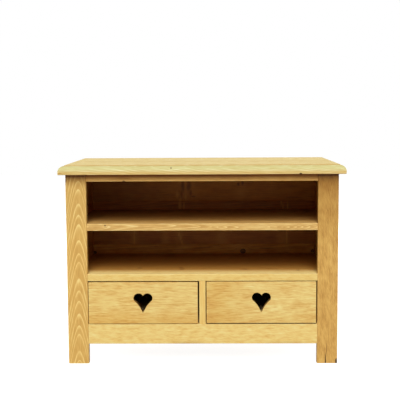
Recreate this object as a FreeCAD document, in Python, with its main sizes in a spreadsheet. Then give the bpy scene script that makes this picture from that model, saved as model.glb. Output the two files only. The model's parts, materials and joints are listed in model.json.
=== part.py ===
"""Pine TV stand: moulded top, four legs, two open compartments, two drawers with heart-shaped finger holes.

Millimetres, +Z up. The origin is on the floor under the middle of the top, and the front faces -Y.
"""
import FreeCAD, Part
import math
import os

import Sketcher
from FreeCAD import Placement, Rotation, Vector

doc = FreeCAD.newDocument("tv_stand")

# Driving dimensions, each with its alias, value and meaning
DIMENSIONS = [
    ("stand_height", 687, "floor to the top surface"),
    ("top_length", 971, "top, end to end"),
    ("top_depth", 499, "top, front to back"),
    ("top_thick", 32, "thickness of the top"),
    ("overhang", 22, "top past the legs at the front and the ends"),
    ("rear_overhang", 12, "top past the legs at the back"),
    ("ovolo", 20, "radius of the quarter round along the edge of the top"),
    ("quirk", 2, "step from the flat field down to the quarter round"),
    ("leg", 70, "width of a leg seen from the front and from the side"),
    ("rear_leg", 30, "thickness of a rear leg, and of the return of a front leg"),
    ("stile_thick", 22, "thickness of the front stiles, the bottom rail and the divider"),
    ("arris", 2.5, "rounding of the long edges of legs and top"),
    ("ease", 1.2, "easing of the edges of rails, shelves and drawer fronts"),
    ("side_thick", 21, "thickness of a side board"),
    ("back_thick", 16, "thickness of a back board"),
    ("back_inset", 12, "back boards in from the rear face of the legs"),
    ("board_cover", 171, "height covered by one full board"),
    ("first_joint", 178, "height of the lowest joint between boards"),
    ("tongue", 6, "thickness and height of the tongue between boards"),
    ("tongue_play", 0.5, "room above a tongue in its groove"),
    ("vee", 1.5, "chamfer along the joints between boards"),
    ("panel_tongue", 8, "thickness and length of the tongues that hold boards in the legs"),
    ("shelf_thick", 24, "thickness of a shelf"),
    ("upper_shelf_top", 486.5, "top of the upper shelf"),
    ("lower_shelf_top", 312.5, "top of the shelf over the drawers"),
    ("shelf_setback", 4, "front of the upper shelf behind the front of the legs"),
    ("rail_thick", 24, "thickness of the top rails and the back rail"),
    ("rail_base", 69.5, "underside of the bottom rail and of the sides"),
    ("rail_tall", 68, "height of the bottom rails"),
    ("top_rail_wide", 60, "front top rail, front to back"),
    ("top_rail_setback", 5, "front top rail behind the face of the legs"),
    ("rear_rail_wide", 34, "rear top rail, front to back"),
    ("tenon_long", 30, "tenon of a front rail"),
    ("stub_long", 15, "stub tenon of a rear rail"),
    ("tenon_thick", 10, "thickness of a tenon"),
    ("mortise_wall", 4, "wood between a mortise of the front top rail and the back of its stile"),
    ("shoulder", 10, "shoulder above and below a tenon"),
    ("divider_wide", 22, "stile between the drawers"),
    ("cleat", 20, "side of a square shelf cleat"),
    ("runner_bearing", 24, "width of a runner under a drawer side"),
    ("runner_tall", 30, "height of a runner"),
    ("runner_lift", 1, "top of the runners above the bottom rail"),
    ("runner_stub", 8, "stub tenon of a runner"),
    ("guide_tall", 20, "height of a drawer guide"),
    ("front_wide", 376, "width of a drawer front"),
    ("front_tall", 144.5, "height of a drawer front"),
    ("front_thick", 22, "thickness of a drawer front"),
    ("lap", 10, "wood of the front left over the end of a drawer side"),
    ("box_clear", 1.5, "drawer side in from the end of its front"),
    ("box_side", 14, "thickness of drawer sides and backs"),
    ("box_tall", 130, "height of a drawer side"),
    ("box_back_tall", 105, "height of a drawer back"),
    ("box_rear_gap", 1, "drawer in front of the back rail when shut"),
    ("housing", 4, "depth of the housings for the drawer back"),
    ("panel_thick", 6, "thickness of a drawer bottom, and depth of its grooves"),
    ("panel_raise", 10, "drawer bottom above the lower edge of the sides"),
    ("left_shift", -1.5, "left drawer front across its opening"),
    ("right_shift", -0.5, "right drawer front across its opening"),
    ("left_gap", 2.3, "gap under the left drawer front"),
    ("right_gap", 3.7, "gap under the right drawer front"),
    ("left_heart", -0.5, "left heart off the middle of its drawer front"),
    ("right_heart", 0.4, "right heart off the middle of its drawer front"),
    ("heart_height", 89, "heart lobe centres above the lower edge of a drawer front"),
    ("heart_lobe", 17.4, "radius of the lobes"),
    ("heart_spread", 30.4, "distance between the lobe centres"),
    ("heart_shoulder", 9, "lobe centres down to the corner between lobe and flank"),
    ("heart_flank", 90, "radius of the hollow flanks"),
    ("heart_drop", 50, "lobe centres down to the tip"),
    ("heart_tip", 2.6, "radius of the tip"),
    ("screw_shank", 4, "diameter of the wood screws"),
    ("screw_head", 8, "diameter of the countersunk heads"),
    ("top_screw_long", 42, "screws through the top rails"),
    ("cleat_screw_long", 35, "screws through the cleats"),
    ("nail_shank", 2, "diameter of the drawer nails"),
    ("nail_head", 4, "diameter of their heads"),
    ("nail_long", 30, "length of the drawer nails"),
]

sheet = doc.addObject("Spreadsheet::Sheet", "dims")
for row, (alias, value, meaning) in enumerate(DIMENSIONS, start=1):
    sheet.set(f"A{row}", meaning)
    sheet.set(f"B{row}", str(value))
    sheet.setAlias(f"B{row}", alias)
doc.recompute()

# Faces that the pieces share, worked out from the driving dimensions
LEG_OUT = "(dims.top_length / 2 - dims.overhang)"
LEG_IN = f"({LEG_OUT} - dims.leg)"
INSIDE = f"({LEG_OUT} - dims.rear_leg)"
FRONT = "(dims.overhang - dims.top_depth / 2)"
REAR = "(dims.top_depth / 2 - dims.rear_overhang)"
LEG_TOP = "(dims.stand_height - dims.top_thick)"
STILE_BACK = f"({FRONT} + dims.stile_thick)"
BEHIND_LEG = f"({FRONT} + dims.leg)"
REAR_LEG_FACE = f"({REAR} - dims.leg)"
SIDE_LENGTH = f"({REAR_LEG_FACE} - {BEHIND_LEG})"
BACK_FACE = f"({REAR} - dims.back_inset - dims.back_thick)"
RAIL_TOP = "(dims.rail_base + dims.rail_tall)"
BACK_RAIL_FACE = f"({BACK_FACE} + dims.back_thick - dims.rail_thick)"
SHELF_UNDER = "(dims.lower_shelf_top - dims.shelf_thick)"
RUNNER_TOP = f"({RAIL_TOP} + dims.runner_lift)"
RUNNER_BASE = f"({RUNNER_TOP} - dims.runner_tall)"
TOP_RAIL_BASE = f"({LEG_TOP} - dims.rail_thick)"
TOP_RAIL_FRONT = f"({FRONT} + dims.top_rail_setback)"
PANEL_TONGUE_IN = f"({INSIDE} + (dims.side_thick - dims.panel_tongue) / 2)"
BOARD_JOINTS = [f"(dims.first_joint + {course} * dims.board_cover)" for course in range(3)]

SIDES = {"left": -1, "right": 1}
ON_FACE = 0.01
subparts = []


def number(expression):
    """Present value of an expression on the sheet."""
    return float(sheet.evalExpression(expression))


def lower_x(side, near, width):
    """Lower X of a piece that starts at distance near from the middle plane, on one side of it."""
    return near if side > 0 else f"-({near} + {width})"


def new_body(label):
    body = doc.addObject("PartDesign::Body", label)
    body.Label = label
    subparts.append(body)
    return body


def sketch_at(body, name, plane_role, origin):
    """Sketch on an origin plane of its body, with its own zero moved to a point of the stand."""
    sketch = body.newObject("Sketcher::SketchObject", name)
    plane = next(item for item in body.Origin.OriginFeatures if item.Role == plane_role)
    sketch.AttachmentSupport = [(plane, "")]
    sketch.MapMode = "FlatFace"
    x, y, z = origin
    in_plane = {"XY_Plane": (x, y, z), "XZ_Plane": (x, z, f"-({y})"), "YZ_Plane": (y, z, x)}[plane_role]
    for axis, expression in zip("xyz", in_plane):
        sketch.setExpression(f"AttachmentOffset.Base.{axis}", expression)
    return sketch


def dimension(sketch, name, expression, kind, *where):
    """Dimension of a sketch, bound to an expression on the sheet."""
    index = sketch.addConstraint(Sketcher.Constraint(kind, *where, number(expression)))
    sketch.renameConstraint(index, name)
    sketch.setExpression(f"Constraints.{name}", expression)


def constrain(sketch, kind, *where):
    sketch.addConstraint(Sketcher.Constraint(kind, *where))


def outline(sketch, points):
    """Closed outline of straight edges, with each corner dimensioned from the sketch's zero."""
    corners = [Vector(number(x), number(y), 0) for x, y in points]
    count = len(corners)
    edges = []
    for index in range(count):
        edge = Part.LineSegment(corners[index], corners[(index + 1) % count])
        edges.append(sketch.addGeometry(edge))
    for index, (x, y) in enumerate(points):
        edge = edges[index]
        constrain(sketch, "Coincident", edges[index - 1], 2, edge, 1)
        places = (("DistanceX", -2, corners[index].x, x), ("DistanceY", -1, corners[index].y, y))
        for kind, axis, place, expression in places:
            if abs(place) < 1e-9:
                constrain(sketch, "PointOnObject", edge, 1, axis)
            else:
                dimension(sketch, f"{kind}_{index}", expression, kind, -1, 1, edge, 1)


def rectangle(sketch, width, rise):
    outline(sketch, [("0", "0"), (width, "0"), (width, rise), ("0", rise)])


def pad(body, name, sketch, length, backwards=False):
    feature = body.newObject("PartDesign::Pad", name)
    feature.Profile = sketch
    feature.setExpression("Length", length)
    feature.Reversed = backwards
    doc.recompute()
    return feature


def pocket(body, name, sketch, depth=None, backwards=False):
    """Pocket of a given depth, or right through; it must take wood away."""
    before = body.Shape.Volume
    feature = body.newObject("PartDesign::Pocket", name)
    feature.Profile = sketch
    feature.Reversed = backwards
    if depth is None:
        feature.Type = "ThroughAll"
    else:
        feature.setExpression("Length", depth)
    doc.recompute()
    if not body.Shape.Volume < before - 1:
        raise RuntimeError(f"{body.Label}: {name} cuts nothing")
    return feature


def plank(label, corner, size):
    """Squared piece of timber."""
    body = new_body(label)
    sketch = sketch_at(body, "section", "XY_Plane", corner)
    rectangle(sketch, size[0], size[1])
    pad(body, "timber", sketch, size[2])
    return body


def add_tenon(body, name, corner, size):
    sketch = sketch_at(body, f"{name}_section", "XY_Plane", corner)
    rectangle(sketch, size[0], size[1])
    pad(body, name, sketch, size[2])


def cut_slot(body, name, corner, size):
    """Mortise, groove or rebate, sunk from the upper end of its own box."""
    x, y, z = corner
    sketch = sketch_at(body, f"{name}_section", "XY_Plane", (x, y, f"{z} + {size[2]}"))
    rectangle(sketch, size[0], size[1])
    pocket(body, name, sketch, size[2])


def edges_along(body, axis, test=None):
    """Names of the straight edges of a body that run along an axis, where test(middle point) holds."""
    names = []
    for index, edge in enumerate(body.Shape.Edges, start=1):
        run = edge.Vertexes[-1].Point - edge.Vertexes[0].Point
        straight = isinstance(edge.Curve, Part.Line) and abs(run.dot(axis)) > 0.999 * run.Length
        if straight and (test is None or test(edge.CenterOfMass)):
            names.append(f"Edge{index}")
    return names


def round_over(body, name, edges, radius):
    """Fillet on named edges of a body."""
    if not edges:
        raise RuntimeError(f"{body.Label}: {name} finds no edge")
    base = body.Tip
    feature = body.newObject("PartDesign::Fillet", name)
    feature.Base = (base, edges)
    feature.setExpression("Radius", radius)
    doc.recompute()


ALONG_X, ALONG_Y, ALONG_Z = Vector(1, 0, 0), Vector(0, 1, 0), Vector(0, 0, 1)


# Top: a thick board with its front and both ends moulded

def moulding_waste(sketch, turn):
    """Waste outside a quarter round with a quirk; zero is the sharp corner, turn points inwards from it."""
    clear = "1"
    radius, step = number("dims.ovolo"), number("dims.quirk")
    inner, level = turn * radius, -step
    points = [
        Vector(inner, level, 0),
        Vector(inner, number(clear), 0),
        Vector(-turn * number(clear), number(clear), 0),
        Vector(-turn * number(clear), level - radius, 0),
        Vector(0, level - radius, 0),
    ]
    lines = [sketch.addGeometry(Part.LineSegment(*points[index:index + 2])) for index in range(4)]
    # The arc runs counterclockwise, so it starts at the quirk on one hand and at the edge on the other
    start = math.pi / 2 if turn > 0 else 0
    circle = Part.Circle(Vector(inner, level - radius, 0), ALONG_Z, radius)
    curve = sketch.addGeometry(Part.ArcOfCircle(circle, start, start + math.pi / 2))
    at_edge, at_quirk = (2, 1) if turn > 0 else (1, 2)
    for first, second in zip(lines, lines[1:]):
        constrain(sketch, "Coincident", first, 2, second, 1)
    for line, kind in zip(lines, ("Vertical", "Horizontal", "Vertical", "Horizontal")):
        constrain(sketch, kind, line)
    constrain(sketch, "Coincident", lines[3], 2, curve, at_edge)
    constrain(sketch, "Coincident", lines[0], 1, curve, at_quirk)
    constrain(sketch, "PointOnObject", lines[3], 2, -2)
    constrain(sketch, "Vertical", curve, 3, lines[0], 1)
    constrain(sketch, "Horizontal", curve, 3, lines[3], 2)
    dimension(sketch, "round", "dims.ovolo", "Radius", curve)
    dimension(sketch, "step", "dims.quirk", "DistanceY", lines[0], 1, -1, 1)
    dimension(sketch, "clear_up", clear, "DistanceY", -1, 1, lines[0], 2)
    outer, zero = (lines[1], 2), (-1, 1)
    dimension(sketch, "clear_out", clear, "DistanceX", *(outer + zero if turn > 0 else zero + outer))


def make_top():
    half, depth_half = "dims.top_length / 2", "dims.top_depth / 2"
    top = plank("top_panel", (f"-{half}", f"-{depth_half}", LEG_TOP),
                ("dims.top_length", "dims.top_depth", "dims.top_thick"))
    across = sketch_at(top, "front_moulding", "YZ_Plane", (half, f"-{depth_half}", "dims.stand_height"))
    moulding_waste(across, 1)
    pocket(top, "mould_front", across)
    for name, side in SIDES.items():
        along = sketch_at(top, f"{name}_moulding", "XZ_Plane",
                          (f"{side} * {half}", f"-{depth_half}", "dims.stand_height"))
        moulding_waste(along, -side)
        pocket(top, f"mould_{name}", along)
    base, front = number(LEG_TOP), -number(depth_half)
    lower = edges_along(top, ALONG_X, lambda middle: middle.z < base + 1 and middle.y < front + 1)
    lower += edges_along(top, ALONG_Y, lambda middle: middle.z < base + 1)
    round_over(top, "lower_edge", lower, "dims.arris")


# Legs: rounded long edges, mortises for the rails and grooves for the boards

def round_front(body, plane_y, radius, *axes):
    """Round the edges of the front face that run along the given axes."""
    front = number(plane_y)
    edges = []
    for axis in axes:
        edges += edges_along(body, axis, lambda middle: middle.y < front + ON_FACE)
    round_over(body, "rounded_edges", edges, radius)


def make_front_leg(name, side):
    """Leg of two boards in an L: a stile across the front, and a return glued behind its outer edge."""
    stile = plank(f"leg_front_{name}", (lower_x(side, LEG_IN, "dims.leg"), FRONT, "0"),
                  ("dims.leg", "dims.stile_thick", LEG_TOP))
    round_front(stile, FRONT, "dims.arris", ALONG_Z)
    mortise_x = lower_x(side, LEG_IN, "dims.tenon_long")
    cut_slot(stile, "bottom_mortise", (mortise_x, *BOTTOM_TENON[0]), ("dims.tenon_long", *BOTTOM_TENON[1]))
    cut_slot(stile, "top_mortise", (mortise_x, *TOP_TENON[0]), ("dims.tenon_long", *TOP_TENON[1]))

    back = plank(f"leg_return_{name}", (lower_x(side, INSIDE, "dims.rear_leg"), STILE_BACK, "0"),
                 ("dims.rear_leg", "dims.leg - dims.stile_thick", LEG_TOP))
    outer, rear = number(LEG_OUT) - ON_FACE, number(BEHIND_LEG) - ON_FACE
    corner = edges_along(back, ALONG_Z, lambda middle: abs(middle.x) > outer and middle.y > rear)
    round_over(back, "rounded_edge", corner, "dims.arris")
    groove_x = lower_x(side, PANEL_TONGUE_IN, "dims.panel_tongue")
    groove = ("dims.panel_tongue", "dims.panel_tongue", f"{LEG_TOP} - dims.rail_base")
    joint = (groove_x, f"{STILE_BACK} - dims.panel_tongue", "dims.rail_base")
    cut_slot(stile, "return_groove", joint, groove)
    add_tenon(back, "stile_tongue", joint, groove)
    cut_slot(back, "side_groove", (groove_x, f"{BEHIND_LEG} - dims.panel_tongue", "dims.rail_base"), groove)


def make_rear_leg(name, side):
    leg = plank(f"leg_rear_{name}", (lower_x(side, INSIDE, "dims.rear_leg"), REAR_LEG_FACE, "0"),
                ("dims.rear_leg", "dims.leg", LEG_TOP))
    round_over(leg, "rounded_edges", edges_along(leg, ALONG_Z), "dims.arris")
    mortise_x = lower_x(side, INSIDE, "dims.stub_long")
    cut_slot(leg, "back_mortise", (mortise_x, *BACK_TENON[0]), ("dims.stub_long", *BACK_TENON[1]))
    cut_slot(leg, "top_mortise", (mortise_x, *REAR_TENON[0]), ("dims.stub_long", *REAR_TENON[1]))
    cut_slot(leg, "side_groove",
             (lower_x(side, PANEL_TONGUE_IN, "dims.panel_tongue"), REAR_LEG_FACE, "dims.rail_base"),
             ("dims.panel_tongue", "dims.panel_tongue", f"{LEG_TOP} - dims.rail_base"))
    cut_slot(leg, "back_groove", (lower_x(side, INSIDE, "dims.panel_tongue"), BACK_FACE, "dims.first_joint"),
             ("dims.panel_tongue", "dims.back_thick", f"{LEG_TOP} - dims.first_joint"))


# Tenons as (Y and Z of the lower corner, Y and Z size): the rails carry them and the legs are mortised

MIDDLE_OF_RAIL = "(dims.rail_thick - dims.tenon_thick) / 2"
MIDDLE_OF_STILE = "(dims.stile_thick - dims.tenon_thick) / 2"
TENON_TALL = "dims.rail_tall - 2 * dims.shoulder"
BOTTOM_TENON = ((f"{FRONT} + {MIDDLE_OF_STILE}", "dims.rail_base + dims.shoulder"),
                ("dims.tenon_thick", TENON_TALL))
TOP_TENON = ((f"{STILE_BACK} - dims.mortise_wall - dims.tenon_thick", f"{TOP_RAIL_BASE} + {MIDDLE_OF_RAIL}"),
             ("dims.tenon_thick", "dims.tenon_thick"))
BACK_TENON = ((f"{BACK_RAIL_FACE} + {MIDDLE_OF_RAIL}", "dims.first_joint - dims.rail_tall + dims.shoulder"),
              ("dims.tenon_thick", TENON_TALL))
REAR_TENON = ((f"{BACK_FACE} - dims.rear_rail_wide * 3 / 4", f"{TOP_RAIL_BASE} + {MIDDLE_OF_RAIL}"),
              ("dims.rear_rail_wide / 2", "dims.tenon_thick"))


def make_rail(label, reach, corner, size, tenon, tenon_long, eased=False):
    """Rail between the two sides, from -reach to +reach, with a tenon at each end."""
    rail = plank(label, (f"-{reach}", *corner), (f"2 * {reach}", *size))
    if eased:
        round_front(rail, corner[0], "dims.ease", ALONG_X)
    for name, side in SIDES.items():
        place = (lower_x(side, reach, tenon_long), *tenon[0])
        add_tenon(rail, f"tenon_{name}", place, (tenon_long, *tenon[1]))
    return rail


def make_rails():
    bottom = make_rail("bottom_rail_front", LEG_IN, (FRONT, "dims.rail_base"),
                       ("dims.stile_thick", "dims.rail_tall"), BOTTOM_TENON, "dims.tenon_long", eased=True)
    for name, (x, width) in RUNNER_STUBS.items():
        cut_slot(bottom, f"runner_mortise_{name}", (x, f"{STILE_BACK} - dims.runner_stub", RUNNER_STUB_BASE),
                 (width, "dims.runner_stub", "dims.tenon_thick"))
    cut_slot(bottom, "divider_mortise", (DIVIDER_STUB[0], DIVIDER_STUB[1], f"{RAIL_TOP} - dims.runner_stub"),
             ("dims.tenon_thick", "dims.tenon_thick", "dims.runner_stub"))

    make_rail("top_rail_front", LEG_IN, (TOP_RAIL_FRONT, TOP_RAIL_BASE),
              ("dims.top_rail_wide", "dims.rail_thick"), TOP_TENON, "dims.tenon_long", eased=True)
    make_rail("top_rail_rear", INSIDE, (f"{BACK_FACE} - dims.rear_rail_wide", TOP_RAIL_BASE),
              ("dims.rear_rail_wide", "dims.rail_thick"), REAR_TENON, "dims.stub_long")

    back = make_rail("back_rail_bottom", INSIDE, (BACK_RAIL_FACE, "dims.first_joint - dims.rail_tall"),
                     ("dims.rail_thick", "dims.rail_tall"), BACK_TENON, "dims.stub_long")
    add_tenon(back, "board_tongue",
              (f"-{INSIDE}", f"{BACK_FACE} + (dims.back_thick - dims.tongue) / 2", "dims.first_joint"),
              (f"2 * {INSIDE}", "dims.tongue", "dims.tongue"))
    for name, (x, width) in RUNNER_STUBS.items():
        cut_slot(back, f"runner_mortise_{name}", (x, BACK_RAIL_FACE, RUNNER_STUB_BASE),
                 (width, "dims.runner_stub", "dims.tenon_thick"))


# Boards of the sides and the back, tongued and grooved along their joints

def board_outline(sketch, thick, tall, tongued, grooved):
    """End grain of a board: tongue on the upper edge, groove in the lower edge, chamfers at the joints."""
    near, far = f"({thick} - dims.tongue) / 2", f"({thick} + dims.tongue) / 2"
    deep = "dims.tongue + dims.tongue_play"
    lower = [("0", "0"), (thick, "0")]
    if grooved:
        lower = [("0", "dims.vee"), ("dims.vee", "0"), (near, "0"), (near, deep), (far, deep), (far, "0"),
                 (f"{thick} - dims.vee", "0"), (thick, "dims.vee")]
    upper = [(thick, tall), ("0", tall)]
    if tongued:
        crest = f"{tall} + dims.tongue"
        upper = [(thick, f"{tall} - dims.vee"), (f"{thick} - dims.vee", tall), (far, tall), (far, crest),
                 (near, crest), (near, tall), ("dims.vee", tall), ("0", f"{tall} - dims.vee")]
    outline(sketch, lower + upper)


def make_side_boards(name, side):
    levels = ["dims.rail_base", *BOARD_JOINTS, LEG_TOP]
    for course, label in enumerate(("bottom", "lower", "upper", "top")):
        base, upper = levels[course], levels[course + 1]
        board = new_body(f"side_{name}_{label}")
        section = sketch_at(board, "section", "XZ_Plane",
                            (lower_x(side, INSIDE, "dims.side_thick"), REAR_LEG_FACE, base))
        board_outline(section, "dims.side_thick", f"({upper} - {base})", label != "top", label != "bottom")
        pad(board, "timber", section, SIDE_LENGTH)
        tongue_x = lower_x(side, PANEL_TONGUE_IN, "dims.panel_tongue")
        for end, y in (("front", f"{BEHIND_LEG} - dims.panel_tongue"), ("rear", REAR_LEG_FACE)):
            lift = "0" if label == "bottom" else "(dims.tongue + dims.tongue_play)"
            add_tenon(board, f"tongue_{end}", (tongue_x, y, f"{base} + {lift}"),
                      ("dims.panel_tongue", "dims.panel_tongue", f"{upper} - {base} - {lift}"))


def make_back_boards():
    levels = [*BOARD_JOINTS, LEG_TOP]
    reach = f"({INSIDE} + dims.panel_tongue)"
    for course, label in enumerate(("lower", "middle", "upper")):
        base, upper = levels[course], levels[course + 1]
        board = new_body(f"back_board_{label}")
        section = sketch_at(board, "section", "YZ_Plane", (f"-{reach}", BACK_FACE, base))
        board_outline(section, "dims.back_thick", f"({upper} - {base})", label != "upper", True)
        pad(board, "timber", section, f"2 * {reach}")


# Shelves, notched round the front stiles

def make_shelf(label, level, setback):
    shelf = new_body(label)
    corner = (f"-{INSIDE}", f"{FRONT} + {setback}", f"{level} - dims.shelf_thick")
    plan = sketch_at(shelf, "plan", "XY_Plane", corner)
    notch, wide = f"({INSIDE} - {LEG_IN})", f"(2 * {INSIDE})"
    deep, leg_deep = f"({BACK_FACE} - {FRONT} - {setback})", f"(dims.stile_thick - {setback})"
    outline(plan, [
        (notch, "0"), (f"{wide} - {notch}", "0"), (f"{wide} - {notch}", leg_deep), (wide, leg_deep),
        (wide, deep), ("0", deep), ("0", leg_deep), (notch, leg_deep),
    ])
    pad(shelf, "timber", plan, "dims.shelf_thick")
    round_front(shelf, f"{FRONT} + {setback}", "dims.ease", ALONG_X)
    return shelf


def make_shelves():
    make_shelf("shelf_upper", "dims.upper_shelf_top", "dims.shelf_setback")
    lower = make_shelf("shelf_lower", "dims.lower_shelf_top", "0")
    cut_slot(lower, "divider_mortise", (DIVIDER_STUB[0], DIVIDER_STUB[1], SHELF_UNDER),
             ("dims.tenon_thick", "dims.tenon_thick", "dims.runner_stub"))


# Stile between the drawers, with a stub tenon at each end

DIVIDER_STUB = ("-dims.tenon_thick / 2", f"{FRONT} + {MIDDLE_OF_STILE}")


def make_divider():
    stile = plank("drawer_divider", ("-dims.divider_wide / 2", FRONT, RAIL_TOP),
                  ("dims.divider_wide", "dims.stile_thick", f"{SHELF_UNDER} - {RAIL_TOP}"))
    round_front(stile, FRONT, "dims.ease", ALONG_Z)
    stub = ("dims.tenon_thick", "dims.tenon_thick", "dims.runner_stub")
    add_tenon(stile, "lower_stub", (*DIVIDER_STUB, f"{RAIL_TOP} - dims.runner_stub"), stub)
    add_tenon(stile, "upper_stub", (*DIVIDER_STUB, SHELF_UNDER), stub)


# Cleats screwed to the side boards: under the top, under the upper shelf and under the lower shelf

CLEAT_UNDERSIDES = {
    "top_cleat": f"({LEG_TOP} - dims.cleat)",
    "shelf_cleat": "(dims.upper_shelf_top - dims.shelf_thick - dims.cleat)",
    "lower_cleat": f"({SHELF_UNDER} - dims.cleat)",
}
CLEAT_FACE = f"({INSIDE} - dims.cleat)"


def make_cleats(name, side):
    for label, base in CLEAT_UNDERSIDES.items():
        plank(f"{label}_{name}", (lower_x(side, CLEAT_FACE, "dims.cleat"), BEHIND_LEG, base),
              ("dims.cleat", SIDE_LENGTH, "dims.cleat"))


# Drawer runners and guides

RUNNER_STUB_BASE = f"{RUNNER_BASE} + (dims.runner_tall - dims.tenon_thick) / 2"
STUB_WIDE = "(dims.runner_bearing * 2 / 3)"
STUB_NEAR = f"({LEG_IN} - dims.runner_bearing * 5 / 6)"
CENTRE_REACH = "(dims.divider_wide / 2 + dims.runner_bearing)"
RUNNER_STUBS = {
    "left": (lower_x(-1, STUB_NEAR, STUB_WIDE), STUB_WIDE),
    "centre": (f"-{CENTRE_REACH} * 2 / 3", f"{CENTRE_REACH} * 4 / 3"),
    "right": (lower_x(1, STUB_NEAR, STUB_WIDE), STUB_WIDE),
}
RUN = f"({BACK_RAIL_FACE} - {STILE_BACK})"
RUNNER_NEAR = f"({LEG_IN} - dims.runner_bearing)"


def stub_both_ends(runner, name):
    x, width = RUNNER_STUBS[name]
    stub = (width, "dims.runner_stub", "dims.tenon_thick")
    add_tenon(runner, "front_stub", (x, f"{STILE_BACK} - dims.runner_stub", RUNNER_STUB_BASE), stub)
    add_tenon(runner, "rear_stub", (x, BACK_RAIL_FACE, RUNNER_STUB_BASE), stub)


def make_side_runner(name, side):
    """Runner from the bottom rail to the back rail, with a guide strip on it."""
    wide = f"({INSIDE} - {RUNNER_NEAR})"
    runner = plank(f"drawer_runner_{name}", (lower_x(side, RUNNER_NEAR, wide), STILE_BACK, RUNNER_BASE),
                   (wide, RUN, "dims.runner_tall"))
    stub_both_ends(runner, name)
    plank(f"drawer_guide_{name}", (lower_x(side, LEG_IN, "dims.cleat"), STILE_BACK, RUNNER_TOP),
          ("dims.cleat", RUN, "dims.guide_tall"))


def make_centre_runner():
    runner = plank("drawer_runner_centre", (f"-{CENTRE_REACH}", STILE_BACK, RUNNER_BASE),
                   (f"2 * {CENTRE_REACH}", RUN, "dims.runner_tall"))
    stub_both_ends(runner, "centre")
    plank("drawer_guide_centre", ("-dims.divider_wide / 2", STILE_BACK, RUNNER_TOP),
          ("dims.divider_wide", RUN, "dims.guide_tall"))


# Drawers: a thick front with a heart-shaped finger hole, lapped sides, a housed back and a grooved-in bottom

def heart_outline(sketch):
    """Heart of two round lobes, two hollow flanks and a small round tip; zero is midway between the lobes."""
    lobe, half = number("dims.heart_lobe"), number("dims.heart_spread") / 2
    shoulder, drop, tip = number("dims.heart_shoulder"), number("dims.heart_drop"), number("dims.heart_tip")
    low, notch = -math.asin(shoulder / lobe), math.acos(-half / lobe)
    corner = Vector(half + lobe * math.cos(low), -shoulder, 0)
    # Rough places near the tip and on the flank, which the constraints below make exact
    foot = Vector(0.9 * tip, -drop + 0.6 * tip, 0)
    hollow = (corner + foot) * 0.5 + Vector(-2, 1.6, 0)

    def mirrored(point):
        return Vector(-point.x, point.y, 0)

    def add_arc(centre, radius, start, end):
        return sketch.addGeometry(Part.ArcOfCircle(Part.Circle(centre, ALONG_Z, radius), start, end))

    right_lobe = add_arc(Vector(half, 0, 0), lobe, low, notch)
    left_lobe = add_arc(Vector(-half, 0, 0), lobe, math.pi - notch, math.pi - low)
    right_flank = sketch.addGeometry(Part.Arc(corner, hollow, foot))
    left_flank = sketch.addGeometry(Part.Arc(mirrored(foot), mirrored(hollow), mirrored(corner)))
    point = add_arc(Vector(0, -drop + tip, 0), tip, 1.16 * math.pi, 1.84 * math.pi)

    def end_near(arc, place):
        """Which end of an arc, 1 or 2, lies at a place."""
        curve = sketch.Geometry[arc]
        return 1 if (curve.StartPoint - place).Length < (curve.EndPoint - place).Length else 2

    constrain(sketch, "Coincident", right_lobe, 2, left_lobe, 1)
    constrain(sketch, "Symmetric", right_lobe, 3, left_lobe, 3, -1, 1)
    constrain(sketch, "PointOnObject", right_lobe, 3, -1)
    constrain(sketch, "Equal", right_lobe, left_lobe)
    constrain(sketch, "Coincident", right_lobe, 1, right_flank, end_near(right_flank, corner))
    constrain(sketch, "Coincident", left_lobe, 2, left_flank, end_near(left_flank, mirrored(corner)))
    constrain(sketch, "Horizontal", right_lobe, 1, left_lobe, 2)
    constrain(sketch, "PointOnObject", point, 3, -2)
    constrain(sketch, "Equal", right_flank, left_flank)
    constrain(sketch, "Tangent", point, 2, right_flank, end_near(right_flank, foot))
    constrain(sketch, "Tangent", point, 1, left_flank, end_near(left_flank, mirrored(foot)))
    dimension(sketch, "lobe", "dims.heart_lobe", "Radius", right_lobe)
    dimension(sketch, "tip", "dims.heart_tip", "Radius", point)
    dimension(sketch, "flank", "dims.heart_flank", "Radius", right_flank)
    dimension(sketch, "spread", "dims.heart_spread", "DistanceX", left_lobe, 3, right_lobe, 3)
    dimension(sketch, "corner", "dims.heart_shoulder", "DistanceY", right_lobe, 1, -1, 1)
    dimension(sketch, "drop", "dims.heart_drop - dims.heart_tip", "DistanceY", point, 3, -1, 1)


FRONT_BACK = f"({FRONT} + dims.front_thick)"
LAP_FACE = f"({FRONT} + dims.lap)"
BOX_REAR = f"({BACK_RAIL_FACE} - dims.box_rear_gap)"
BOX_OUT = "(dims.front_wide / 2 - dims.box_clear)"
BOX_IN = f"({BOX_OUT} - dims.box_side)"
PANEL_BASE = f"({RUNNER_TOP} + dims.panel_raise)"
PANEL_TOP = f"({PANEL_BASE} + dims.panel_thick)"
OPENING_MIDDLE = f"({LEG_IN} / 2 + dims.divider_wide / 4)"
BACK_PANEL_FACE = f"({BOX_REAR} - dims.box_side)"
# Nails through the drawer sides, in a row up the lapped front and a row up the housed back
NAIL_ROWS = (f"(({LAP_FACE} + {FRONT_BACK}) / 2)", f"({BACK_PANEL_FACE} + dims.box_side / 2)")
NAIL_LEVELS = [f"({RUNNER_TOP} + {place} * dims.box_tall)" for place in (0.2, 0.5, 0.8)]


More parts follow.
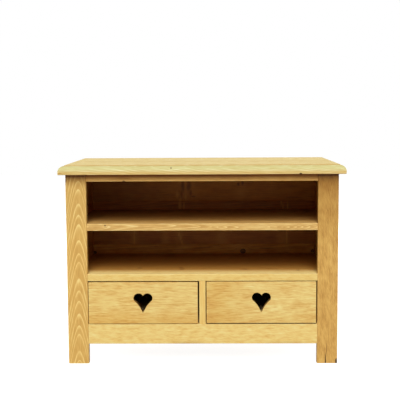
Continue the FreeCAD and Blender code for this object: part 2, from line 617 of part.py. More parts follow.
def make_drawer_front(drawer, middle, base, heart_shift):
    front = plank(f"{drawer}_front", (f"{middle} - dims.front_wide / 2", FRONT, base),
                  ("dims.front_wide", "dims.front_thick", "dims.front_tall"))
    round_front(front, FRONT, "dims.ease", ALONG_X, ALONG_Z)
    rebate = ("dims.box_side + dims.box_clear", "dims.front_thick - dims.lap", "dims.front_tall")
    for name, x in (("left", f"{middle} - dims.front_wide / 2"), ("right", f"{middle} + {BOX_IN}")):
        cut_slot(front, f"rebate_{name}", (x, LAP_FACE, base), rebate)
    cut_slot(front, "bottom_groove", (f"{middle} - {BOX_IN}", f"{FRONT_BACK} - dims.panel_thick", PANEL_BASE),
             (f"2 * {BOX_IN}", "dims.panel_thick", "dims.panel_thick"))
    heart_middle = (f"{middle} + {heart_shift}", FRONT, f"{base} + dims.heart_height")
    heart = sketch_at(front, "heart", "XZ_Plane", heart_middle)
    heart_outline(heart)
    pocket(front, "finger_hole", heart)


def make_drawer_side(drawer, name, side, middle):
    def from_inner_face(width):
        """Lower X of a cut or board of some width that starts at the inner face of this side."""
        return f"{middle} + {lower_x(side, BOX_IN, width)}"

    length = f"{BOX_REAR} - {LAP_FACE}"
    board = plank(f"{drawer}_side_{name}", (from_inner_face("dims.box_side"), LAP_FACE, RUNNER_TOP),
                  ("dims.box_side", length, "dims.box_tall"))
    upper = number(f"{RUNNER_TOP} + dims.box_tall")
    rim = edges_along(board, ALONG_Y, lambda middle_point: middle_point.z > upper - ON_FACE)
    round_over(board, "eased_edges", rim, "dims.ease")
    cut_slot(board, "bottom_groove", (from_inner_face("dims.panel_thick"), LAP_FACE, PANEL_BASE),
             ("dims.panel_thick", length, "dims.panel_thick"))
    cut_slot(board, "back_housing", (from_inner_face("dims.housing"), BACK_PANEL_FACE, PANEL_TOP),
             ("dims.housing", "dims.box_side", "dims.box_back_tall"))


def make_drawer(name, side):
    drawer = f"drawer_{name}"
    middle = f"({side} * {OPENING_MIDDLE} + dims.{name}_shift)"
    make_drawer_front(drawer, middle, f"({RAIL_TOP} + dims.{name}_gap)", f"dims.{name}_heart")
    for end, end_side in SIDES.items():
        make_drawer_side(drawer, end, end_side, middle)
    reach = f"({BOX_IN} + dims.housing)"
    plank(f"{drawer}_back", (f"{middle} - {reach}", BACK_PANEL_FACE, PANEL_TOP),
          (f"2 * {reach}", "dims.box_side", "dims.box_back_tall"))
    panel = f"({BOX_IN} + dims.panel_thick)"
    plank(f"{drawer}_bottom", (f"{middle} - {panel}", f"{FRONT_BACK} - dims.panel_thick", PANEL_BASE),
          (f"2 * {panel}", f"{BOX_REAR} - {FRONT_BACK} + dims.panel_thick", "dims.panel_thick"))
    heads = [((f"{middle} + {end_side} * {BOX_OUT}", y, z), ALONG_X * -end_side)
             for end_side in SIDES.values() for y in NAIL_ROWS for z in NAIL_LEVELS]
    fastener_group(f"{drawer}_nails", "nail", "dims.nail_long", heads)


# Screws and nails, as groups of separate solids driven into the wood

FASTENER_SIDES = 8


def fastener_blank(fastener, length):
    """Countersunk screw or nail, faceted to stay light: its head's face is at zero and it points along +Z."""
    shank, head = number(f"dims.{fastener}_shank") / 2, number(f"dims.{fastener}_head") / 2
    neck, taper, tip = head - shank, 3 * shank, 0.15 * shank
    rings = []
    for height, radius in ((0, head), (neck, shank), (length - taper, shank), (length, tip)):
        spokes = [2 * math.pi * corner / FASTENER_SIDES for corner in range(FASTENER_SIDES + 1)]
        rings.append(Part.makePolygon([Vector(radius * math.cos(spoke), radius * math.sin(spoke), height)
                                       for spoke in spokes]))
    return Part.makeLoft(rings, True, True)


def fastener_group(label, fastener, length, places):
    """Group of screws or nails; each place is (head position, pointing direction)."""
    blank = fastener_blank(fastener, number(length))
    copies = []
    for position, direction in places:
        head = Vector(*(number(value) for value in position))
        copy = blank.copy()
        copy.Placement = Placement(head, Rotation(ALONG_Z, direction))
        copies.append(copy)
    group = doc.addObject("Part::Feature", label)
    group.Label = label
    group.Shape = Part.makeCompound(copies)
    group.Placement = Placement()
    subparts.append(group)


def make_screws():
    """Screws up through the two top rails into the top, and out through the cleats into the side boards."""
    front_row = f"({TOP_RAIL_FRONT} + dims.top_rail_wide / 2)"
    rear_row = f"({BACK_FACE} - dims.rear_rail_wide / 2)"
    top_places = [(f"{place} * {LEG_IN}", front_row) for place in (-0.75, -0.25, 0.25, 0.75)]
    top_places += [(f"{place} * {LEG_IN}", rear_row) for place in (-0.75, 0, 0.75)]
    fastener_group("top_screws", "screw", "dims.top_screw_long",
                   [((x, y, TOP_RAIL_BASE), ALONG_Z) for x, y in top_places])
    side_middle = f"({BEHIND_LEG} + {REAR_LEG_FACE}) / 2"
    cleat_row = [f"({side_middle} + {place} * {SIDE_LENGTH})" for place in (-0.38, 0, 0.38)]
    fastener_group("cleat_screws", "screw", "dims.cleat_screw_long",
                   [((f"{side} * {CLEAT_FACE}", y, f"{base} + dims.cleat / 2"), ALONG_X * side)
                    for side in SIDES.values() for base in CLEAT_UNDERSIDES.values() for y in cleat_row])


make_top()
for side_name, side_sign in SIDES.items():
    make_front_leg(side_name, side_sign)
    make_rear_leg(side_name, side_sign)
    make_side_boards(side_name, side_sign)
    make_cleats(side_name, side_sign)
    make_side_runner(side_name, side_sign)
    make_drawer(side_name, side_sign)
make_rails()
make_back_boards()
make_shelves()
make_divider()
make_centre_runner()
make_screws()

doc.recompute()
for item in doc.Objects:
    if {"Invalid", "Error"} & set(item.State):
        raise RuntimeError(f"{item.Label} failed: {item.State}")
for part in subparts:
    if part.Shape.isNull() or not part.Shape.isValid():
        raise RuntimeError(f"{part.Label} has no valid shape")

os.makedirs("parts", exist_ok=True)
for part in subparts:
    part.Shape.exportStep(os.path.join("parts", f"{part.Label}.step"))
print(f"{len(subparts)} nodes written")
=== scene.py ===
"""Looks of the pine TV stand: waxed pine boards with growth rings, in plain studio light."""

import json
import math
from functools import partial

import bpy
import numpy as np
from mathutils import Matrix, Vector


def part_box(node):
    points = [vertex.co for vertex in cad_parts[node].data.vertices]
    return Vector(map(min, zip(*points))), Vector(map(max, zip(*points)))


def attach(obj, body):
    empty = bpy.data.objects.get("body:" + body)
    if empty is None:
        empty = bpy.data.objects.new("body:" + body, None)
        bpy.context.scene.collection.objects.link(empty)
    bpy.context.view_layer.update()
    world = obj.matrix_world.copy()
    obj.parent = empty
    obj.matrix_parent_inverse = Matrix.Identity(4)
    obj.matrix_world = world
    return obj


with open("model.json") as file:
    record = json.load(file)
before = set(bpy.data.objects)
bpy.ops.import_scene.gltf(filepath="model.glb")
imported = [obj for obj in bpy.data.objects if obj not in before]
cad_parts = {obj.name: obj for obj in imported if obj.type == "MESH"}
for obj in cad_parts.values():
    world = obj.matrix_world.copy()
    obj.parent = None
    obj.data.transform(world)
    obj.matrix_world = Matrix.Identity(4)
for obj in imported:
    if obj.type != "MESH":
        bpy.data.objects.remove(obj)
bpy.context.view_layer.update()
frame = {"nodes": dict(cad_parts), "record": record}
NODES = frame["nodes"]
SLOTS = {part["node"]: part["material_slot"] for part in frame["record"]["subparts"]}
MM = 0.001


def linear(hex_colour, alpha=1.0):
    """sRGB hex value as a linear colour."""
    channels = [int(hex_colour[place:place + 2], 16) / 255 for place in (1, 3, 5)]
    return [c / 12.92 if c <= 0.04045 else ((c + 0.055) / 1.055) ** 2.4 for c in channels] + [alpha]


def add_node(tree, kind, inputs=(), out=0, stops=(), **settings):
    """Adds a shader node, sets or links its inputs (a list in socket order, or a dict by socket name or
    number) and the stops of a ramp, and gives back one output, or all of them when out is None."""
    node = tree.nodes.new(f"ShaderNode{kind}")
    for name, value in settings.items():
        setattr(node, name, value)
    for socket, value in inputs.items() if isinstance(inputs, dict) else enumerate(inputs):
        if isinstance(value, bpy.types.NodeSocket):
            tree.links.new(value, node.inputs[socket])
        else:
            node.inputs[socket].default_value = value
    for index, (position, colour) in enumerate(stops):
        elements = node.color_ramp.elements
        last = index == len(stops) - 1
        element = elements[-1] if last else elements[0] if index == 0 else elements.new(position)
        element.position = position
        element.color = colour if hasattr(colour, "__len__") else (colour, colour, colour, 1.0)
    return node.outputs if out is None else node.outputs[out] if node.outputs else None


def new_material(name):
    """Empty node material, and the function that adds nodes to it."""
    material = bpy.data.materials.new(name)
    material.use_nodes = True
    material.node_tree.nodes.clear()
    return material, partial(add_node, material.node_tree)


# Pine: growth rings round a pith line, fibres along the grain, cloudy stain, knots, edges rubbed pale

# The axis that the fibres run along, and the two across it
AXES = {"X": (0, 1, 2), "Y": (1, 0, 2), "Z": (2, 0, 1)}
# Sockets of a node that mixes two colours
MIX_COVER, MIX_BELOW, MIX_ABOVE, MIXED = 0, 6, 7, 2

# Patterns of noise: octaves, and a shift that sets each apart from the others
NOISE = {"pith": (1.0, 5.0), "haze": (3.0, 11.0), "sway": (1.0, 17.0), "streaks": (3.0, 23.0),
         "fibres": (2.0, 31.0), "rubbing": (2.0, 41.0), "fading": (2.0, 53.0)}
NOISE_ROUGHNESS = 0.55
# Their cells across and along the grain in millimetres, apart from haze and fibres, which each board sets
CELLS = {"pith": (160, 330), "sway": (22, 90), "streaks": (3.6, 100), "rubbing": (9, 22), "fading": (16, 60)}
# How far apart in the noise two boards start, for each step of their seed
SEED_STEP = (1.0, 1.7, 2.3)
# Sideways waves of the fibres in millimetres, and how much the ends of two fibres differ for their distance
FIBRE_SWAY, STAGGER = 6, 5.0

# One year, from soft early wood that drinks the stain to dense late wood that stays pale: place in the year,
# and strength of the pale line
YEAR_STOPS = [(0.0, 0.25), (0.05, 0.02), (0.5, 0.0), (0.77, 0.35), (0.92, 1.0), (1.0, 0.8)]
# Good and bad years: how far they move the lines, in years, and how fast they change from year to year
YEARS_MOVED, YEARS_PACE = 1.3, 0.41
# Noise from one value to another fades the lines by a factor from one to another
LINES_FADED = (0.35, 0.65, 0.45, 1.2)
# Squareness from one value to another brings the lines back from faint, on sanded edges, to full
LINES_SANDED = (0.8, 0.98, 0.15, 1.0)
# A knot pushes the lines aside between two distances in its radii, by up to so many years
KNOT_REACH, KNOT_PUSH = (0.7, 3.5), 3

# Staves: metres of the tree from one to the next, turn of their lots in radians, shift of the pith in widths
STAVE_SHIFT, STAVE_TURN, STAVE_PITH = 1.7, 2.4, 0.3
# A glue line is a tenth of a millimetre wide; this one, in millimetres, is drawn wide enough to show
GLUE_LINE = 1.2
# Width of the rubbed edges in millimetres
RUBBED_EDGE = 5
# Normals along the grain from one value to another turn long grain to end grain
END_GRAIN = (0.6, 0.9)

# Shares in the tone: end grain drinks more stain, staves differ a little, glue lines are darker
END_SHARE, LOT_SHARE, JOINT_SHARE = -0.3, 0.04, -0.1
# Resting values of the lines and of noise, which leave the tone at its middle
LINE_REST, NOISE_REST, TONE_MIDDLE = 0.25, 0.5, 0.5
# Places of the five tones of a board in the range of the tone
TONE_PLACES = (0.1, 0.36, 0.5, 0.66, 0.9)

# Height of lines and fibres in millimetres, and how strongly it shows; spread of roughness over streaks
RELIEF, RELIEF_STRENGTH = 0.15, 0.2
STREAK_RANGE, ROUGH_BELOW, ROUGH_ABOVE = (0.3, 0.7), 0.06, 0.08
WOOD_IOR = 1.5

# Kinds of mark: how ragged the outline is, and place, colour and cover of its stops from centre to rim
MARKS = {
    "knots": (0.3, [(0.0, "#5A2E10", 0.85), (0.45, "#6A3A14", 0.75), (0.72, "#4A240C", 0.85),
                    (0.86, "#2A1206", 0.92), (0.97, "#6B3F1A", 0.5), (1.0, "#9A6A30", 0.0)]),
    "glow": (0.9, [(0.0, "#DDA04A", 0.38), (0.4, "#D89A44", 0.28), (1.0, "#C88C3A", 0.0)]),
    "spikes": (0.35, [(0.0, "#E8B458", 0.6), (0.5, "#D8A048", 0.42), (1.0, "#B07A30", 0.0)]),
    "scars": (0.6, [(0.0, "#5E2C08", 0.7), (0.5, "#6E380C", 0.5), (1.0, "#844C16", 0.0)]),
    # Painted shade in a dark corner inside the carcass
    "corner_shade": (0.1, [(0.0, "#5A2808", 0.4), (0.5, "#5A2808", 0.35), (1.0, "#5A2808", 0.0)]),
    # Real cracks and chips, and painted shade on the walls of the heart cut-outs
    "cracks_and_shade": (0.3, [(0.0, "#1E0D05", 0.95), (0.55, "#3A1F0C", 0.85), (1.0, "#6B431C", 0.0)]),
    "grime": (0.5, [(0.0, "#9A6A2C", 0.55), (0.5, "#A87838", 0.3), (1.0, "#B98A44", 0.0)]),
    # Painted shade in the quirk groove of the top's moulding
    "quirk_shade": (0.5, [(0.0, "#B07C34", 0.6), (0.5, "#B4823C", 0.42), (1.0, "#C49850", 0.0)]),
}


def glue_staves(add, across, length, wide, staves):
    """Staves glued edge to edge over a width: each is another stretch of the tree with its pith elsewhere,
    and every second one is turned end for end. Gives back the place across and along the stave, the lot that
    the stave draws, and a line at the glue joints."""
    width = wide / staves
    stave = add("Math", [across, 1 / width, staves / 2], operation="MULTIPLY_ADD")
    stave = add("Clamp", [stave, 0.5, staves - 0.5])
    number = add("Math", [stave], operation="FLOOR")
    lot = add("Math", [add("Math", [number, STAVE_TURN], operation="MULTIPLY")], operation="SINE")
    middle = add("Math", [number, width, (1 - staves) * width / 2], operation="MULTIPLY_ADD")
    pith = add("Math", [lot, STAVE_PITH * width, middle], operation="MULTIPLY_ADD")
    across = add("Math", [across, pith], operation="SUBTRACT")
    odd = add("Math", [number, 2.0], operation="MODULO")
    turned = add("Math", [odd, -2.0, 1.0], operation="MULTIPLY_ADD")
    stretch = add("Math", [number, STAVE_SHIFT], operation="MULTIPLY")
    length = add("Math", [length, turned, stretch], operation="MULTIPLY_ADD")
    to_joint = add("Math", [stave, add("Math", [stave], operation="ROUND")], operation="SUBTRACT")
    to_joint = add("Math", [to_joint], operation="ABSOLUTE")
    joint = add("MapRange", [to_joint, 0.0, GLUE_LINE * MM / width, 1.0, 0.0])
    return across, length, lot, joint


def year_lines(add, from_pith, length, knots, ring, taper, seed):
    """Lines of the years: distance from the pith, plus its slope along the board, pushed aside by knots."""
    from_pith = add("VectorMath", [from_pith, (1, 1, 0)], operation="MULTIPLY")
    radius = add("VectorMath", [from_pith], operation="LENGTH", out="Value")
    reach = add("Math", [length, taper, radius], operation="MULTIPLY_ADD")
    if knots is not None:
        push = KNOT_PUSH * ring * MM
        bulge = add("MapRange", [knots, *KNOT_REACH, push, 0.0], interpolation_type="SMOOTHSTEP")
        reach = add("Math", [reach, bulge], operation="ADD")
    years = add("Math", [reach, 1 / (ring * MM)], operation="MULTIPLY")
    count = add("Math", [years, seed], operation="ADD")
    uneven = add("TexNoise", {"W": count, "Scale": YEARS_PACE, "Detail": 1.0}, noise_dimensions="1D")
    years = add("Math", [uneven, YEARS_MOVED, years], operation="MULTIPLY_ADD")
    return add("ValToRGB", [add("Math", [years], operation="FRACT")], stops=YEAR_STOPS)


def squareness(add, normal):
    """Greatest part of the normal on an axis: 1 on flat faces, less on rounded edges."""
    parts = add("SeparateXYZ", [add("VectorMath", [normal], operation="ABSOLUTE")], out=None)
    greatest = add("Math", [parts[0], parts[1]], operation="MAXIMUM")
    return add("Math", [greatest, parts[2]], operation="MAXIMUM")


def distance_to_edge(add, centred, half):
    """Distance to the nearest edge of a board: the middle one of the three distances to its faces."""
    inside = add("VectorMath", [centred], operation="ABSOLUTE")
    gaps = add("SeparateXYZ", [add("VectorMath", [half, inside], operation="SUBTRACT")], out=None)
    lesser = add("Math", [gaps[0], gaps[1]], operation="MINIMUM")
    greater = add("Math", [gaps[0], gaps[1]], operation="MAXIMUM")
    greater = add("Math", [greater, gaps[2]], operation="MINIMUM")
    return add("Math", [lesser, greater], operation="MAXIMUM")


def distance_to_marks(add, place, marks):
    """Distance to the nearest mark of each kind, in radii of that mark."""
    nearest = {}
    for kind, centre, radii in marks:
        scale = [1 / (radius * MM) if radius else 0.0 for radius in radii]
        location = [-middle * MM * size for middle, size in zip(centre, scale)]
        spot = add("Mapping", {"Vector": place, "Location": location, "Scale": scale})
        reach = add("VectorMath", [spot], operation="LENGTH", out="Value")
        if kind in nearest:
            reach = add("Math", [nearest[kind], reach], operation="MINIMUM")
        nearest[kind] = reach
    return nearest


def tinted(add, colour, place, facing, tints):
    """The colour multiplied by each tint where that covers."""
    axes = {"normal": (facing, 1.0), "place": (add("SeparateXYZ", [place], out=None), MM)}
    for hex_colour, what, axis, start, end in tints:
        parts, unit = axes[what]
        value = parts["XYZ".index(axis)]
        cover = add("MapRange", [value, start * unit, end * unit, 0.0, 1.0], interpolation_type="SMOOTHSTEP")
        colours = {MIX_COVER: cover, MIX_BELOW: colour, MIX_ABOVE: linear(hex_colour)}
        colour = add("Mix", colours, data_type="RGBA", blend_type="MULTIPLY", out=MIXED)
    return colour


def marked(add, colour, nearest, rubbed):
    """The colour under its marks, whose outlines are ragged by noise."""
    for kind, reach in nearest.items():
        ragged, stops = MARKS[kind]
        rim = add("Math", [reach, -ragged * NOISE_REST], operation="ADD")
        rim = add("Math", [rubbed, ragged, rim], operation="MULTIPLY_ADD")
        stops = [(spot, linear(hex_colour, cover)) for spot, hex_colour, cover in stops]
        stain, cover = add("ValToRGB", [rim], stops=stops, out=None)
        colours = {MIX_COVER: cover, MIX_BELOW: colour, MIX_ABOVE: stain}
        colour = add("Mix", colours, data_type="RGBA", out=MIXED)
    return colour


def planed_wood(label, node, seed, grain, tones, rough, shine, staves=1, pith=(60, 90), ring=4.0, taper=0.02,
                lean=(0, 0), wander=4.0, line=0.2, cloud=0.5, patch=(30, 80), streak=0.4, fibre=0.35,
                fleck=(2.4, 26), wear=0.3, marks=(), tints=()):
    """Planed wood. Sizes are in millimetres.

    grain is the axis that the fibres run along, staves the number of boards glued edge to edge across it,
    pith the tree's centre line measured from the middle of the board on the two other axes, ring the width of
    a year, taper the slope of the rings along the board, lean the slope of the fibres on the two other axes
    and wander the crookedness of the pith. line, cloud, streak, fibre and wear are the shares that years,
    stain, broad streaks, fine fibres and rubbed edges have in the tone, which runs through the tones from
    dark to pale; patch and fleck are the widths and lengths of stain clouds and fibres. rough and shine are
    the roughness and the specular level. Each mark is (kind, centre, radii); a radius of 0 runs right through.
    Each tint is (colour, what, axis, start, end): the wood is multiplied by the colour as its place in
    millimetres, or its normal, goes from start to end on that axis.
    """
    material, add = new_material(label)
    low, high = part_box(node)
    half = (high - low) / 2
    along, *others = AXES[grain]
    coordinates = add("TexCoord", out=None)
    place, normal = coordinates["Object"], coordinates["Normal"]
    facing = add("SeparateXYZ", [normal], out=None)
    centred = add("Mapping", {"Vector": place, "Location": -(low + high) / 2})
    sides = add("SeparateXYZ", [centred], out=None)
    length = sides[along]
    across = [add("Math", [length, -slope, sides[axis]], operation="MULTIPLY_ADD")
              for axis, slope in zip(others, lean)]
    # Each pattern, its share in the tone and its resting value
    patterns = []
    if staves > 1:
        across[0], length, lot, joint = glue_staves(add, across[0], length, 2 * half[others[0]], staves)
        patterns = [(lot, LOT_SHARE, 0.0), (joint, JOINT_SHARE, 0.0)]
    wood = add("CombineXYZ", [*across, length])
    # Fibres end at random along the board, so their cells are staggered across it
    stagger = add("VectorMath", [wood, (STAGGER, STAGGER, 1.0)], operation="DOT_PRODUCT", out="Value")
    fibres = add("CombineXYZ", [*across, stagger])
    # Fibres are a tenth of a millimetre thick; these are drawn as coarse as the render can show
    cells = {**CELLS, "haze": patch, "fibres": fleck}

    def noise(name, where, out="Fac"):
        """A pattern of noise at a place in the wood."""
        octaves, shift = NOISE[name]
        wide, long = cells[name]
        location = [step * seed + sign * shift for step, sign in zip(SEED_STEP, (1, -1, 1))]
        scale = [1 / (size * MM) for size in (wide, wide, long)]
        spot = add("Mapping", {"Vector": where, "Location": location, "Scale": scale})
        look = {"Vector": spot, "Scale": 1.0, "Detail": octaves, "Roughness": NOISE_ROUGHNESS}
        return add("TexNoise", look, out=out)

    def swayed(name, where, sway):
        """A place moved sideways by up to about half of sway, to bend the grain."""
        centre = add("VectorMath", [where, (-sway * MM / 2, -sway * MM / 2, 0)], operation="ADD")
        push = [noise(name, where, out="Color"), (sway * MM, sway * MM, 0), centre]
        return add("VectorMath", push, operation="MULTIPLY_ADD")

    nearest = distance_to_marks(add, place, marks)
    from_pith = [swayed("pith", wood, 2 * wander), (-pith[0] * MM, -pith[1] * MM, 0)]
    from_pith = add("VectorMath", from_pith, operation="ADD")
    lines = year_lines(add, from_pith, length, nearest.get("knots"), ring, taper, seed)
    faded = add("MapRange", [noise("fading", wood), *LINES_FADED])
    lines = add("Math", [lines, faded], operation="MULTIPLY")
    sanded = add("MapRange", [squareness(add, normal), *LINES_SANDED])
    lines = add("Math", [lines, sanded], operation="MULTIPLY")

    wavy = swayed("sway", fibres, FIBRE_SWAY)
    haze = noise("haze", wood)
    broad = noise("streaks", wavy)
    fine = noise("fibres", wavy)
    rubbed = noise("rubbing", wood)
    edge = [distance_to_edge(add, centred, half), 0.0, RUBBED_EDGE * MM, 1.0, 0.0]
    edge = add("MapRange", edge, interpolation_type="SMOOTHSTEP")
    edge = add("Math", [edge, rubbed], operation="MULTIPLY")
    end = add("Math", [facing[along]], operation="ABSOLUTE")
    end = add("MapRange", [end, *END_GRAIN, 0.0, 1.0])
    patterns += [(lines, line, LINE_REST), (haze, cloud, NOISE_REST), (broad, streak, NOISE_REST),
                 (fine, fibre, NOISE_REST), (edge, wear, 0.0), (end, END_SHARE, 0.0)]

    tone = TONE_MIDDLE - sum(rest * share for _, share, rest in patterns)
    for pattern, share, _ in patterns:
        tone = add("Math", [pattern, share, tone], operation="MULTIPLY_ADD")
    stops = [(spot, linear(hex_colour)) for spot, hex_colour in zip(TONE_PLACES, tones)]
    colour = add("ValToRGB", [tone], stops=stops)
    colour = tinted(add, colour, place, facing, tints)
    colour = marked(add, colour, nearest, rubbed)

    relief = add("Math", [lines, fine], operation="ADD")
    bump = add("Bump", {"Strength": RELIEF_STRENGTH, "Distance": RELIEF * MM, "Height": relief})
    gloss = add("MapRange", [broad, *STREAK_RANGE, rough - ROUGH_BELOW, rough + ROUGH_ABOVE])
    surface = add("BsdfPrincipled", {"Base Color": colour, "Roughness": gloss, "IOR": WOOD_IOR,
                                     "Specular IOR Level": shine, "Normal": bump})
    add("OutputMaterial", [surface])
    return material


# Stain tones, from the darkest fleck to the palest line

TAN_LEG = ("#BB8D46", "#CFA357", "#DAB164", "#E3BF71", "#ECCF83")
GOLD_LEG = ("#9A6B2E", "#BF9048", "#CC9E53", "#D7AC5D", "#E3BF72")
SUNNY = ("#BE8D42", "#D6AE63", "#DFBF74", "#E4CC82", "#EADB9B")
APRON = ("#CB9A4B", "#DFB96A", "#E5C679", "#E7CF84", "#EDDEA0")
HONEY = ("#AE813D", "#C69B57", "#D3AB65", "#DEBD75", "#E9CF8F")
TOP = ("#C29450", "#D9B779", "#E2C48A", "#E9CE97", "#F5DCAE")
RAIL = ("#A27231", "#CD9A4D", "#DCAC5B", "#E8BB6B", "#F6D38A")
PALE_SHELF = ("#D2A455", "#E8C678", "#EFD287", "#F2DB92", "#F6E6AC")
BACK = ("#8A5826", "#B98A48", "#C89A56", "#D4AA66", "#E6C486")
PALE_BACK = ("#985F2A", "#CA964E", "#DAA85E", "#E4B86E", "#F0CE8E")
RAW = ("#A87F48", "#CBA368", "#D8B27C", "#E2C08E", "#F0D8AE")
BIRCH = ("#BE9E66", "#D8BD88", "#E1C996", "#E8D3A4", "#F0E0BA")

# Painted shade: wood facing down or inside, a painted shadow close under the top, rims of the drawers in their
# gaps
SHADED = "#DCAE78"
# Painted shadow of the top's overhang on the parts just under it
OVERHANG_SHADOW = ("#A27F3C", "place", "Z", 643, 652)
# Painted shade on the side and lower rims of the drawer fronts, in the gaps round them
SIDE_GAP_SHADE = "#9C784C"
LOWER_GAP_SHADE = "#7C5A38"

# Inner face of the back boards and how deep its marks go, in millimetres
BACK_FACE, BACK_DEPTH = 209.5, 10


def on_back(*marks):
    """Marks on the inner face of the back, each given as kind, x, z, and its radii on those axes."""
    return [(kind, (x, BACK_FACE, z), (wide, BACK_DEPTH, tall)) for kind, x, z, wide, tall in marks]


